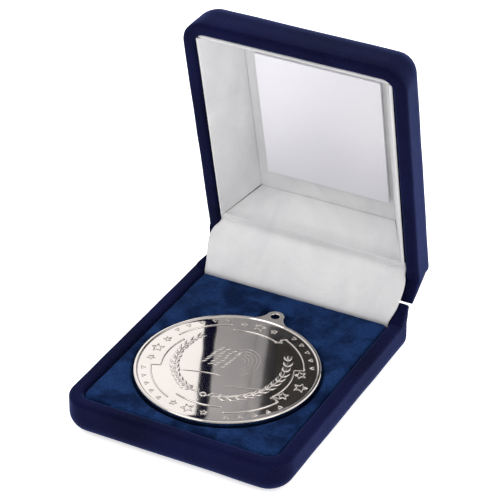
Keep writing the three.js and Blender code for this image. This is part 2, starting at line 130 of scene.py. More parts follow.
# ---- materials ----
def fill(tree, node, **inputs):
    """Sets a node's inputs, each to a value or to another node's output."""
    for name, value in inputs.items():
        socket = node.inputs[name.replace("_", " ")]
        if isinstance(value, bpy.types.NodeSocket):
            tree.links.new(value, socket)
        else:
            socket.default_value = value


def add_node(tree, kind, **inputs):
    node = tree.nodes.new("ShaderNode" + kind)
    fill(tree, node, **inputs)
    return node


class Nodes:
    """A material and its node tree, while it is written."""

    def __init__(self, name):
        self.material = bpy.data.materials.new(name)
        self.material.use_nodes = True
        self.tree = self.material.node_tree
        self.shader = self.tree.nodes["Principled BSDF"]
        self.coords = add_node(self.tree, "TexCoord").outputs["Object"]

    def set(self, **inputs):
        fill(self.tree, self.shader, **inputs)

    def noise(self, scale, detail, roughness=0.5, stretch=None, distortion=0.0):
        source = self.coords
        if stretch:
            source = add_node(self.tree, "Mapping", Vector=source, Scale=stretch).outputs["Vector"]
        node = add_node(self.tree, "TexNoise", Vector=source, Scale=scale, Detail=detail,
                        Roughness=roughness, Distortion=distortion)
        return node.outputs["Fac"]

    def ramp(self, fac, stops):
        """A colour between two stops of (position, colour)."""
        node = add_node(self.tree, "ValToRGB", Fac=fac)
        for element, (position, color) in zip(node.color_ramp.elements, stops):
            element.position = position
            element.color = (*color, 1.0)
        return node.outputs["Color"]

    def scale_range(self, fac, low, high):
        node = add_node(self.tree, "MapRange", Value=fac, To_Min=low, To_Max=high)
        return node.outputs["Result"]

    def multiply(self, a, b):
        """One colour times another. The mix node's sockets share names, so go by number."""
        factor_in, color_a_in, color_b_in, color_out = 0, 6, 7, 2
        node = add_node(self.tree, "Mix")
        node.data_type = "RGBA"
        node.blend_type = "MULTIPLY"
        node.inputs[factor_in].default_value = 1.0
        self.tree.links.new(a, node.inputs[color_a_in])
        self.tree.links.new(b, node.inputs[color_b_in])
        return node.outputs[color_out]

    def bump(self, heights):
        """heights is a list of (socket, distance in metres)."""
        normal = None
        for height, distance in heights:
            node = add_node(self.tree, "Bump", Strength=1.0, Distance=distance, Height=height)
            if normal:
                fill(self.tree, node, Normal=normal)
            normal = node.outputs["Normal"]
        self.set(Normal=normal)


def velvet(name, dark, light, sheen, sheen_tint, patch):
    """Short pile: brushed patches of two tones, fibre speckle, and a pale sheen at grazing angles."""
    n = Nodes(name)
    patches = n.noise(patch, detail=6.0, roughness=0.66, distortion=0.25)
    brushed = n.ramp(patches, [(0.40, dark), (0.60, light)])
    speckle = n.noise(2600.0, detail=1.0)
    speckled = n.ramp(speckle, [(0.3, (0.62, 0.62, 0.66)), (0.7, (1.3, 1.3, 1.3))])
    n.set(Base_Color=n.multiply(brushed, speckled), Roughness=n.scale_range(patches, 0.82, 1.0))
    n.set(Sheen_Weight=sheen, Sheen_Roughness=0.35, Sheen_Tint=(*sheen_tint, 1.0))
    n.set(Specular_IOR_Level=0.03)
    n.bump([(patches, 0.0002), (speckle, 0.00012)])
    return n.material


def leatherette(name):
    """Soft white coated lining: fine grain, soft creases, and painted shade that greys the creases'
    hollows.
    """
    n = Nodes(name)
    cloud = n.noise(28.0, detail=5.0, roughness=0.62, distortion=1.2)
    creases = n.noise(60.0, detail=3.0, roughness=0.5, stretch=(1.0, 0.35, 0.35), distortion=1.8)
    tone = n.ramp(cloud, [(0.3, (0.60, 0.60, 0.61)), (0.65, (0.70, 0.70, 0.71))])
    # painted shade: where the crease noise is low (the bumped hollows), the colour is drawn a little
    # greyer
    painted_crease_shade = n.ramp(creases, [(0.35, (0.93, 0.93, 0.94)), (0.6, (1.0, 1.0, 1.0))])
    grain = n.noise(2200.0, detail=2.0)
    n.set(Base_Color=n.multiply(tone, painted_crease_shade), Roughness=n.scale_range(cloud, 0.42, 0.6))
    n.set(Specular_IOR_Level=0.4)
    n.bump([(cloud, 0.0006), (creases, 0.00035), (grain, 0.00003)])
    return n.material


def metal(name, color, roughness, grain, stretch, depth, vary):
    """Metal with faint tone drift and fine grain along one direction."""
    n = Nodes(name)
    drift = n.noise(55.0, detail=3.0)
    dim = tuple(c * 0.93 for c in color)
    fine = n.noise(grain, detail=2.0, stretch=stretch)
    n.set(Base_Color=n.ramp(drift, [(0.3, dim), (0.7, color)]), Metallic=1.0,
          Roughness=n.scale_range(fine, roughness - vary, roughness + vary))
    n.bump([(fine, depth)])
    return n.material


def matte(name, dark, light, scale, roughness, depth):
    """Plain stuff with a visible grain: paper, card, foam, moulded plastic or tape."""
    n = Nodes(name)
    grain = n.noise(scale, detail=4.0, roughness=0.65)
    n.set(Base_Color=n.ramp(grain, [(0.3, dark), (0.7, light)]),
          Roughness=n.scale_range(grain, roughness - 0.08, min(1.0, roughness + 0.08)))
    n.bump([(grain, depth)])
    return n.material


def plate_material():
    """Satin metal plate: very fine brushing across, and a faint lavender cast."""
    n = Nodes("plate_metal")
    drift = n.noise(18.0, detail=2.0)
    tone = n.ramp(drift, [(0.3, (0.72, 0.715, 0.76)), (0.7, (0.77, 0.765, 0.81))])
    brushing = n.noise(1500.0, detail=2.0, stretch=(0.04, 1.0, 1.0))
    n.set(Base_Color=tone, Roughness=n.scale_range(brushing, 0.38, 0.5), Metallic=0.3)
    n.bump([(brushing, 0.000004)])
    return n.material


COVER_VELVET = velvet("cover_velvet", (0.0026, 0.0031, 0.0165), (0.0048, 0.0057, 0.031), 0.26,
                      (0.22, 0.33, 0.95), patch=22.0)
PAD_VELVET = velvet("pad_velvet", (0.0028, 0.0095, 0.038), (0.0090, 0.028, 0.096), 0.10,
                    (0.15, 0.40, 0.95), patch=110.0)
LEATHERETTE = leatherette("lining_leatherette")
SILVER = metal("medal_silver", (0.53, 0.50, 0.48), 0.06, grain=2500.0, stretch=(1.0, 1.0, 1.0),
               depth=0.000002, vary=0.03)
STEEL = metal("hinge_steel", (0.42, 0.43, 0.45), 0.34, grain=1800.0, stretch=(0.08, 1.0, 1.0),
              depth=0.00001, vary=0.06)
PLATE = plate_material()
PLASTIC = matte("shell_plastic", (0.018, 0.02, 0.035), (0.026, 0.028, 0.05), 900.0, 0.55, 0.00002)
PAPER = matte("underside_paper", (0.012, 0.015, 0.045), (0.03, 0.035, 0.08), 700.0, 0.85, 0.00012)
CARD = matte("card", (0.26, 0.23, 0.18), (0.36, 0.33, 0.27), 1100.0, 0.85, 0.00005)
TAPE = matte("tape", (0.82, 0.81, 0.76), (0.88, 0.87, 0.83), 600.0, 0.6, 0.00002)
FOAM = matte("foam", (0.02, 0.03, 0.09), (0.05, 0.07, 0.16), 1400.0, 0.9, 0.0003)
FLOOR = matte("floor", (0.9, 0.9, 0.9), (0.93, 0.93, 0.93), 4.0, 0.9, 0.00001)


# ---- mesh helpers ----
def mesh_object(name, verts, faces, material, lid=False, smooth=True):
    """An object from points in millimetres. With lid=True the points are those of the shut lid."""
    mesh = bpy.data.meshes.new(name)
    mesh.from_pydata([tuple(v) for v in verts], [], faces)
    if lid:
        mesh.transform(LID_OPEN)
    mesh.transform(Matrix.Scale(MM, 4))
    mesh.validate()
    mesh.materials.append(material)
    if smooth:
        smooth_shade(mesh)
    mesh.update()
    return place(name, mesh)


def place(name, data):
    """A new object in the scene from a mesh, curve, lamp or camera."""
    obj = bpy.data.objects.new(name, data)
    bpy.context.scene.collection.objects.link(obj)
    return obj


def smooth_shade(mesh):
    mesh.polygons.foreach_set("use_smooth", [True] * len(mesh.polygons))


def ring_bands(rings, around, wrap=False, start=0):
    """Quads between closed rings of points; with wrap=True the last ring meets the first."""
    faces = []
    for k in range(rings if wrap else rings - 1):
        a = start + k * around
        b = start + (k + 1) % rings * around
        for i in range(around):
            j = (i + 1) % around
            faces.append((a + i, a + j, b + j, b + i))
    return faces


def first_cap(around):
    """The face that closes the first ring."""
    return tuple(range(around - 1, -1, -1))


def last_cap(rings, around):
    """The face that closes the last ring."""
    return tuple((rings - 1) * around + i for i in range(around))


def tube_faces(rings, around):
    return [first_cap(around)] + ring_bands(rings, around) + [last_cap(rings, around)]


def grid_faces(across, rows):
    """Quads of an open grid with `across` by `rows` cells."""
    row = across + 1
    faces = []
    for j in range(rows):
        for i in range(across):
            k = j * row + i
            faces.append((k, k + 1, k + 1 + row, k + row))
    return faces


def on_circle(cx, cy, r, angle):
    return (cx + r * math.cos(angle), cy + r * math.sin(angle))


def between(a, b, t):
    """The point that lies a share t of the way from a to b."""
    return tuple(p + (q - p) * t for p, q in zip(a, b))


def heading(path, k):
    """The way that a path of [y, z, ...] runs at its point k, as a unit vector."""
    before, after = path[max(k - 1, 0)], path[min(k + 1, len(path) - 1)]
    return Vector((after[0] - before[0], after[1] - before[1])).normalized()


def fix_normals(obj):
    bm = bmesh.new()
    bm.from_mesh(obj.data)
    bmesh.ops.recalc_face_normals(bm, faces=bm.faces)
    bm.to_mesh(obj.data)
    bm.free()
    return obj


def baked_mesh(obj):
    """A mesh of what an object's modifiers or curve make."""
    graph = bpy.context.evaluated_depsgraph_get()
    return bpy.data.meshes.new_from_object(obj.evaluated_get(graph))


def apply_modifiers(obj):
    """Bakes an object's modifiers into its mesh."""
    baked = baked_mesh(obj)
    obj.modifiers.clear()
    obj.data = baked


def thicken(obj, thickness, offset=-1.0, edge_r=0.0):
    """Gives a skin its thickness in millimetres: inwards, or to both sides with offset=0."""
    thick = obj.modifiers.new("thickness", "SOLIDIFY")
    thick.thickness = thickness * MM
    thick.offset = offset
    if edge_r:
        soft_edge = obj.modifiers.new("edge", "BEVEL")
        soft_edge.width = edge_r * MM
        soft_edge.segments = 2
        soft_edge.angle_limit = math.radians(50)
    apply_modifiers(obj)
    smooth_shade(obj.data)


def new_curve(name, dimensions, bevel_r):
    curve = bpy.data.curves.new(name, "CURVE")
    curve.dimensions = dimensions
    curve.bevel_depth = bevel_r * MM
    curve.bevel_resolution = 3
    return curve


def curve_mesh(curve):
    """Turns a curve's shape into a mesh."""
    temp = place("shape", curve)
    mesh = baked_mesh(temp)
    bpy.data.objects.remove(temp)
    return mesh


def poly_line(curve, points, cyclic=False):
    """Adds a line through points in metres to a curve."""
    line = curve.splines.new("POLY")
    line.points.add(len(points) - 1)
    for point, place_at in zip(line.points, points):
        point.co = (*place_at, 1.0)
    line.use_cyclic_u = cyclic


def finish_piece(obj, body, node):
    """Hides the CAD node it stands for, and rides on a body."""
    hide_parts(node)
    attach(obj, body)


CORNER_STEPS = 10       # points round each corner of the box's outline
STRAIGHT_SPACING = 1.6  # distance between the points along its straights
# Rough lengths of the straights. They set the number of points, the same for every inset.
STRAIGHTS = [REAR_Y * 2 - 12, HALF_W * 2 - 6, REAR_Y * 2 - 12, HALF_W * 2 - 20]


def outline(inset):
    """The box's outline, moved in: round at the front and nearly square at the hinge."""
    w = HALF_W - inset
    rear = REAR_Y - inset
    front = FRONT_Y + inset
    rf = max(FRONT_R - inset, 0.6)
    rr = max(REAR_R - inset, 0.4)
    corners = [
        (w - rf, front + rf, rf, -90),
        (w - rr, rear - rr, rr, 0),
        (-w + rr, rear - rr, rr, 90),
        (-w + rf, front + rf, rf, 180),
    ]
    points = []
    for k, (x, y, r, start) in enumerate(corners):
        for i in range(CORNER_STEPS + 1):
            points.append(on_circle(x, y, r, math.radians(start + 90 * i / CORNER_STEPS)))
        next_x, next_y, next_r, next_start = corners[(k + 1) % 4]
        target = on_circle(next_x, next_y, next_r, math.radians(next_start))
        here = points[-1]
        count = int(STRAIGHTS[k] / STRAIGHT_SPACING)
        points += [between(here, target, i / count) for i in range(1, count)]
    return points


def arc(inset, z, r, from_deg, to_deg, steps):
    """Part of a circle about [inset, z], as points of a profile."""
    turns = [math.radians(from_deg + (to_deg - from_deg) * i / steps) for i in range(steps + 1)]
    return [(inset - r * math.cos(a), z + r * math.sin(a)) for a in turns]


def span(a, b, steps):
    """Points between two profile points, without the ends."""
    return [between(a, b, i / steps) for i in range(1, steps)]


def stacked(profile, caps):
    """Vertices and faces of outlines stacked by a profile of [inset, z], capped or a closed loop."""
    rings = [[(x, y, z) for x, y in outline(inset)] for inset, z in profile]
    around = len(rings[0])
    verts = [p for ring in rings for p in ring]
    faces = ring_bands(len(rings), around, wrap=not caps)
    if caps:
        faces += [first_cap(around), last_cap(len(rings), around)]
    return verts, faces


def soften(obj, amount, size, seed):
    """Moves every point along its normal by smooth noise, so that no wall is dead flat."""
    offset = Vector((seed, seed * 1.7, -seed))
    for v in obj.data.vertices:
        v.co += v.normal * (amount * noise.noise(v.co / size + offset))
    obj.data.update()


# ---- velvet covers ----
UNDER_TURN = 9.0         # how far the velvet is turned in under the base
UNDER_EASE = 7.5         # where its flat part begins to rise
INNER = WALL - TURNED_T  # the turned-in velvet's hidden face
BASE_COVER = (
    [(UNDER_TURN, 0.0), (UNDER_EASE, 0.0)]
    + arc(BASE_EDGE_R, BASE_EDGE_R, BASE_EDGE_R, -90, 0, 8)
    + span((0.0, BASE_EDGE_R), (0.0, RIM_Z - RIM_R), 5)
    + arc(RIM_R, RIM_Z - RIM_R, RIM_R, 0, 90, 6)
    + arc(WALL - RIM_R, RIM_Z - RIM_R, RIM_R, 90, 180, 6)
    + span((WALL, RIM_Z - RIM_R), (WALL, TURN_IN), 5)
    + [(WALL, TURN_IN), (INNER, TURN_IN)]
    + span((INNER, TURN_IN), (INNER, RIM_Z - RIM_T), 3)
    + [(INNER, RIM_Z - RIM_T), (VELVET_T, RIM_Z - RIM_T)]
    + arc(BASE_EDGE_R, BASE_EDGE_R, BASE_EDGE_R - VELVET_T, 0, -90, 8)
    + [(UNDER_TURN, VELVET_T)]
)
LID_SIDE_TOP = LID_TOP_Z - LID_EDGE_R
LID_CAP = 24.0  # the faces in the middle of the lid's top start here
LID_COVER = (
    [(LID_CAP, LID_TOP_Z - VELVET_T), (14.0, LID_TOP_Z - VELVET_T)]
    + arc(LID_DRAFT + LID_EDGE_R, LID_SIDE_TOP, LID_EDGE_R - VELVET_T, 90, 0, 8)
    + [(VELVET_T, LID_RIM_Z + RIM_T), (INNER, LID_RIM_Z + RIM_T), (INNER, LID_RIM_Z + TURN_IN)]
    + [(WALL, LID_RIM_Z + TURN_IN)]
    + arc(WALL - RIM_R, LID_RIM_Z + RIM_R, RIM_R, 180, 270, 6)
    + arc(RIM_R, LID_RIM_Z + RIM_R, RIM_R, 270, 360, 6)
    + span((0.0, LID_RIM_Z + RIM_R), (LID_DRAFT, LID_SIDE_TOP), 6)
    + arc(LID_DRAFT + LID_EDGE_R, LID_SIDE_TOP, LID_EDGE_R, 0, 90, 12)
    + [(inset, LID_TOP_Z) for inset in (12.5, 15.5, 19.5, LID_CAP)]
)


def shape_lid(x, y, z):
    """Leans the lid's front in towards its top and fills out the rounding at the hinge side."""
    up = max((z - LID_RIM_Z - TURN_IN) / (LID_DEPTH - TURN_IN), 0.0)
    round_up = max((z - LID_SIDE_TOP) / LID_EDGE_R, 0.0)
    lean = FRONT_LEAN * up * max(y / FRONT_Y, 0.0)
    fill = REAR_FILL * round_up * max(y / REAR_Y, 0.0) ** 2
    return x, y + lean + fill, z


COVER_UNEVEN = 0.13  # how far the velvet's faces wander from dead flat


def cover(name, profile, lid, seed):
    """The velvet over the base, a closed loop of profile, or over the lid, which has a top."""
    verts, faces = stacked(profile, caps=lid)
    if lid:
        verts = [shape_lid(*v) for v in verts]
    obj = mesh_object("velvet_" + name, verts, faces, COVER_VELVET, lid=lid)
    fix_normals(obj)
    soften(obj, COVER_UNEVEN * MM, 14 * MM, seed)
    for v in obj.data.vertices:
        # nothing wanders below the table
        v.co.z = max(v.co.z, 0.0)
    finish_piece(obj, "lid" if lid else "base", name)


# Soft tucks of velvet that rise from the side walls' rims at the hinge, as the box lies shut:
# (y, z, half thickness, inner face, outer face) at stations along each. No two are quite alike.
BASE_TUCK_RIGHT = [
    (42.6, 10.2, 2.9, 34.5, 39.1), (43.1, 11.4, 2.7, 34.5, 39.1), (43.9, 12.6, 2.3, 34.5, 39.1),
    (45.1, 13.9, 1.9, 34.5, 38.9), (46.4, 15.0, 1.6, 34.5, 38.6), (47.3, 15.8, 1.4, 34.5, 38.4),
    (47.7, 16.15, 1.2, 34.6, 38.3), (47.75, 16.2, 1.15, 34.65, 38.25),
]
BASE_TUCK_LEFT = [
    (42.6, 10.2, 2.9, 34.5, 39.0), (43.1, 11.2, 2.7, 34.5, 38.7), (43.9, 12.2, 2.3, 34.5, 38.1),
    (44.9, 13.1, 1.8, 34.5, 37.4), (45.9, 13.9, 1.4, 34.5, 36.8), (46.8, 14.7, 1.0, 34.6, 36.2),
    (47.4, 15.3, 0.6, 34.7, 35.7), (47.6, 15.5, 0.3, 34.8, 35.4),
]
LID_TUCK_RIGHT = [
    (43.6, 14.9, 2.4, 34.5, 39.1), (43.9, 13.6, 2.2, 34.5, 39.1), (44.5, 12.3, 2.0, 34.5, 39.1),
    (45.4, 10.9, 1.8, 34.5, 39.0), (46.3, 9.6, 1.6, 34.5, 38.9), (47.1, 8.5, 1.4, 34.5, 38.8),
    (47.5, 7.9, 1.25, 34.6, 38.7), (47.55, 7.85, 1.2, 34.65, 38.65),
]
LID_TUCK_LEFT = [
    (42.6, 14.9, 2.4, 34.5, 39.1), (43.4, 14.2, 2.2, 35.0, 39.1), (44.4, 13.6, 1.8, 35.9, 39.1),
    (45.8, 13.2, 1.3, 36.9, 39.1), (47.2, 13.0, 0.9, 37.8, 39.1), (48.4, 12.9, 0.55, 38.4, 39.1),
    (48.9, 12.9, 0.25, 38.8, 39.0),
]
# where each pair grows from its rim, and the way it rises, as (y, z)
BASE_TUCK_ROOT, BASE_TUCK_DIRECTION = (43.6, 10.4), (0.5, 0.87)
LID_TUCK_ROOT, LID_TUCK_DIRECTION = (43.6, 14.4), (0.3, -0.95)
TUCK_AROUND = 28      # points round each section
TUCK_ROUNDNESS = 0.5  # 1 is an ellipse, 0 a rectangle


def tuck(name, stations, side, lid):
    """A soft flat finger of velvet, lofted from rounded sections."""
    verts = []
    for k, (y, z, half_t, inner, outer) in enumerate(stations):
        along = heading(stations, k)
        across = Vector((along.y, -along.x))
        middle = side * (inner + outer) / 2
        for i in range(TUCK_AROUND):
            a = 2 * math.pi * i / TUCK_AROUND
            c, s = math.cos(a), math.sin(a)
            u = math.copysign(abs(c) ** TUCK_ROUNDNESS, c) * (outer - inner) / 2
            v = math.copysign(abs(s) ** TUCK_ROUNDNESS, s) * half_t
            verts.append((middle + u, y + across.x * v, z + across.y * v))
    faces = tube_faces(len(stations), TUCK_AROUND)
    obj = mesh_object("velvet_" + name, verts, faces, COVER_VELVET, lid=lid)
    fix_normals(obj)
    smooth = obj.modifiers.new("smooth", "SUBSURF")
    smooth.levels = 2
    smooth.render_levels = 2
    apply_modifiers(obj)
    soften(obj, 0.12 * MM, 3.2 * MM, seed=side * 3.1 + (7.0 if lid else 0.0))
    return obj


def crumple_tuck(obj, body, node, root, direction):
    """Rides the tuck on its body and gives it a mesh of its own."""
    axis = Vector((0.0, *direction)).normalized()
    anchor = Vector((0.0, *root))
    if body == "lid":
        axis = LID_OPEN.to_3x3() @ axis
        anchor = LID_OPEN @ anchor
    finish_piece(obj, body, node)
    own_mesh(obj)


# ---- pad ----
LUG_REACH = 6.5           # top of the lug beyond the medal's edge
NOTCH_HALF = 5.7          # half the width of the notch that the lug lies in
NOTCH_END = MEDAL_R + LUG_REACH + 0.7
RECESS_R = MEDAL_R + 0.6  # the recess leaves this much room round the medal
RECESS_Z = MEDAL_Z - 0.3
PAD_INSET = HALF_W - PAD_HIGH[0]
PAD_EDGE_R = 1.7  # rounding along the pad's outer edge
PAD_LIP_R = 1.1   # rounding of the recess's lip
PAD_SKIN = 0.8
PAD_CROWN = 0.35  # swell of the pad between its edge and the recess


def smooth_min(a, b, blend):
    """The lesser of two numbers, with a rounded change-over between them."""
    h = max(0.0, min(1.0, 0.5 + 0.5 * (b - a) / blend))
    return b + (a - b) * h - blend * h * (1 - h)


def recess_reach(angle):
    """Distance from the medal's middle to the recess's edge, lug notch included."""
    c, s = math.cos(angle), math.sin(angle)
    reach = RECESS_R
    if s > 0:
        side_wall = NOTCH_HALF / max(abs(c), 1e-6)
        end_wall = NOTCH_END / s
        notch = smooth_min(side_wall, end_wall, 2.5)
        reach = -smooth_min(-RECESS_R, -notch, 1.6)
    return reach


def pad_reach(angle):
    """Distance from the medal's middle to the pad's outer edge along a ray."""
    c, s = math.cos(angle), math.sin(angle)
    half_w, front, rear = PAD_HIGH[0], PAD_LOW[1], PAD_HIGH[1]
    reach = min(half_w / max(abs(c), 1e-9),
                (rear - MEDAL_Y) / s if s > 1e-9 else 1e9,
                (MEDAL_Y - front) / -s if s < -1e-9 else 1e9)
    corner_r = FRONT_R - PAD_INSET
    cx, cy = half_w - corner_r, front + corner_r - MEDAL_Y
    x, y = abs(c) * reach, s * reach
    if x > cx and y < cy:
        # the ray meets the rounded front corner
        b = abs(c) * cx + s * cy
        q = cx * cx + cy * cy - corner_r * corner_r
        reach = b + math.sqrt(max(b * b - q, 0.0))
    return reach


def pad_angles():
    """Rays round the medal, closer together where the lug's notch is."""
    angles = []
    a = 0.0
    while a < 360.0:
        angles.append(math.radians(a))
        a += 0.4 if abs(a - 90) < 16 else 1.0
    return angles


def pad():
    """The pad as one skin: up its sides, over the top and down into the recess."""
    crown_width = 12.0  # the crown is lower where the pad is narrower than this
    steps = 16
    angles = pad_angles()
    sides = np.array([pad_reach(a) for a in angles])
    recess = np.array([recess_reach(a) for a in angles])
    level = np.ones(len(angles))
    rings = []

    def ring(radii, heights):
        rings.append([(*on_circle(0.0, MEDAL_Y, r, a), z) for a, r, z in zip(angles, radii, heights)])

    ring(sides, level * PAD_LOW[2])
    ring(sides, level * (PAD_Z - PAD_EDGE_R - 0.8))
    for t in np.radians(np.linspace(0.0, 90.0, 7)):
        ring(sides - PAD_EDGE_R * (1 - math.cos(t)), level * (PAD_Z - PAD_EDGE_R * (1 - math.sin(t))))
    outer = sides - PAD_EDGE_R
    inner = recess + PAD_LIP_R
    crown = np.clip((outer - inner) / crown_width, 0.0, 1.0) * PAD_CROWN
    for t in np.arange(1, steps) / steps:
        ring(outer + (inner - outer) * t, PAD_Z + crown * math.sin(math.pi * t))
    for t in np.radians(np.linspace(0.0, 90.0, 6)):
        ring(recess + PAD_LIP_R * (1 - math.sin(t)), level * (PAD_Z - PAD_LIP_R * (1 - math.cos(t))))
    ring(recess, level * (RECESS_Z + 0.4))
    ring(recess - 0.5, level * RECESS_Z)
    for share in (0.85, 0.6, 0.35, 0.12):
        ring(recess * share, level * RECESS_Z)
    verts = [p for r in rings for p in r]
    faces = ring_bands(len(rings), len(angles)) + [last_cap(len(rings), len(angles))]
    obj = mesh_object("velvet_pad", verts, faces, PAD_VELVET)
    for v in obj.data.vertices:
        x, y, z = v.co / MM
        if z > PAD_Z - 1.2:
            v.co.z += (0.22 * noise.noise(Vector((x / 9, y / 9, 3.0)))
                       + 0.07 * noise.noise(Vector((x / 2.2, y / 2.2, 9.0)))) * MM
    thicken(obj, PAD_SKIN)
    finish_piece(obj, "base", "insert_velvet")


# ---- white lining ----
# Four sloping walls run from the lid's mouth to a flat panel, in the lid as it lies shut.
LINING_T = 1.0
MOUTH_X, MOUTH_FRONT, MOUTH_REAR = 33.4, FRONT_Y + WALL + 1.2, 39.4
SIDE_REAR = 36.1          # the side walls end here and the rear wall turns up to them
PANEL_X, PANEL_FRONT, PANEL_REAR = 25.0, -33.3, 31.4
PANEL_LAP = 0.7           # how far the panel reaches behind the walls' lower edges
PANEL_T = 0.4
PANEL_Z = LID_RIM_Z + PANEL_DEPTH
MOUTH_Z = LID_RIM_Z + 0.2
REAR_MOUTH_Z = MOUTH_Z + 0.4
FRONT_MOUTH_Z = MOUTH_Z + 0.5
SLOPE_Z = PANEL_Z - 0.12  # the walls end just short of the panel
SEAM = 0.12               # gap between neighbouring walls


def sheet_grid(name, corners, counts, out, bulge, wrinkle, seed, thickness, turn_up=0.0):
    """A quilted four-sided sheet between corners a, b, c and d, swelling away from `out`."""
    a, b, c, d = (Vector(p) for p in corners)
    nu, nv = counts
    out = Vector(out).normalized()
    verts = []
    for j in range(nv + 1):
        v = j / nv
        for i in range(nu + 1):
            u = i / nu
            p = (a.lerp(b, u)).lerp(d.lerp(c, u), v)
            edge = math.sin(math.pi * u) ** 0.5 * math.sin(math.pi * v) ** 0.5 if 0 < v < 1 else 0.0
            long_fold = noise.noise(Vector((p.x / 16, p.y / 22, p.z / 16 + seed)))
            crease = 1 - abs(noise.noise(Vector((p.x / 7 + seed, p.y / 9, p.z / 5)))) * 2
            lift = bulge * edge + wrinkle * (long_fold + 0.35 * crease) * (0.3 + 0.7 * edge)
            p.y -= turn_up * (1 - v) * abs(2 * u - 1) ** 7
            verts.append(p - out * lift)
    faces = grid_faces(nu, nv)
    obj = mesh_object("soft_" + name, verts, faces, LEATHERETTE, lid=True)
    orient = LID_OPEN.to_3x3() @ out
    if obj.data.polygons[len(faces) // 2].normal.dot(orient) > 0:
        obj.data.flip_normals()
    thicken(obj, thickness, edge_r=0.15)
    return obj


def side_wall(side):
    """Corners of the right (side=1) or left (side=-1) wall, from the mouth to the panel."""
    return [(side * MOUTH_X, MOUTH_FRONT + SEAM, MOUTH_Z), (side * MOUTH_X, SIDE_REAR, MOUTH_Z),
            (side * PANEL_X, PANEL_REAR - SEAM, SLOPE_Z), (side * PANEL_X, PANEL_FRONT + SEAM, SLOPE_Z)]


def end_wall(mouth_y, mouth_z, panel_y):
    """Corners of the rear or front wall, from the mouth to the panel."""
    return [(-MOUTH_X + SEAM, mouth_y, mouth_z), (MOUTH_X - SEAM, mouth_y, mouth_z),
            (PANEL_X - SEAM, panel_y, SLOPE_Z), (-PANEL_X + SEAM, panel_y, SLOPE_Z)]


def lining():
    """The four walls and the panel, each its own sheet. Counts are cells along and across."""
    walls = [
        ("right", side_wall(1), (1, 0, 0.45), (70, 16)),
        ("left", side_wall(-1), (-1, 0, 0.45), (70, 16)),
        ("rear", end_wall(MOUTH_REAR, REAR_MOUTH_Z, PANEL_REAR), (0, 1, 0.6), (60, 16)),
        ("front", end_wall(MOUTH_FRONT, FRONT_MOUTH_Z, PANEL_FRONT), (0, -1, 0.6), (60, 16)),
    ]
    for k, (word, corners, out, counts) in enumerate(walls):
        name = "lid_lining_" + word
        turn_up = MOUTH_REAR - SIDE_REAR if word == "rear" else 0.0
        obj = sheet_grid(name, corners, counts, out, bulge=0.25, wrinkle=0.16, seed=2.3 * k,
                         thickness=LINING_T, turn_up=turn_up)
        finish_piece(obj, "lid", name)
    x = PANEL_X + PANEL_LAP
    front, rear = PANEL_FRONT - PANEL_LAP, PANEL_REAR + PANEL_LAP
    corners = [(-x, front, PANEL_Z), (x, front, PANEL_Z), (x, rear, PANEL_Z), (-x, rear, PANEL_Z)]
    panel = sheet_grid("lid_lining_panel", corners, (60, 70), (0, 0, 1), bulge=0.1, wrinkle=0.08,
                       seed=11.0, thickness=PANEL_T)
    finish_piece(panel, "lid", "lid_lining_panel")


# (y, z, left half width, right half width) along the strip that bridges the hinge
FLAP_PATH = [
    (40.75, 9.6, 34.1, 34.1), (40.7, 11.2, 34.1, 34.1), (40.85, 12.5, 34.2, 34.2),
    (41.8, 14.0, 34.4, 34.7), (43.6, 16.1, 35.0, 35.5), (46.0, 18.7, 36.0, 35.8),
    (48.6, 21.4, 36.6, 35.8), (50.9, 23.6, 36.1, 35.2), (52.3, 24.9, 35.0, 34.4),
    (52.9, 26.2, 34.35, 34.35), (52.7, 27.6, 34.35, 34.35), (52.4, 29.2, 34.35, 34.35),
]


def smooth_path(points, steps):
    """Catmull-Rom curve through points, `steps` pieces to each span."""
    points = [np.array(p) for p in points]
    fine = []
    for k in range(len(points) - 1):
        p0, p1 = points[max(k - 1, 0)], points[k]
        p2, p3 = points[k + 1], points[min(k + 2, len(points) - 1)]
        for i in range(steps):
            t = i / steps
            fine.append(0.5 * ((2 * p1) + (p2 - p0) * t + (2 * p0 - 5 * p1 + 4 * p2 - p3) * t * t
                               + (3 * p1 - p0 - 3 * p2 + p3) * t ** 3))
    fine.append(points[-1])
    return fine


def hinge_flap():
    """The strip that bridges the hinge, tucked behind the pad and under the lid's lining."""
    across = 70
    fine = smooth_path(FLAP_PATH, 4)
    verts = []
    for j, (y, z, left, right) in enumerate(fine):
        v = j / (len(fine) - 1)
        free = math.sin(math.pi * v)
        along = heading(fine, j)
        out = Vector((0, along.y, -along.x))
        for i in range(across + 1):
            u = 2 * i / across - 1
            x = u * (left if u < 0 else right)
            fold = noise.noise(Vector((x / 13, v * 1.6, 5.0)))
            crease = noise.noise(Vector((x / 5, v * 3.1, 8.0)))
            lift = (0.55 * fold + 0.16 * crease) * free - 0.25 * free * u * u
            verts.append(Vector((x, y, z)) - out * lift)
    obj = mesh_object("soft_hinge_flap", verts, grid_faces(across, len(fine) - 1), LEATHERETTE)
    thicken(obj, 0.35, offset=0.0)
    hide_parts("hinge_flap")
    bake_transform(obj)


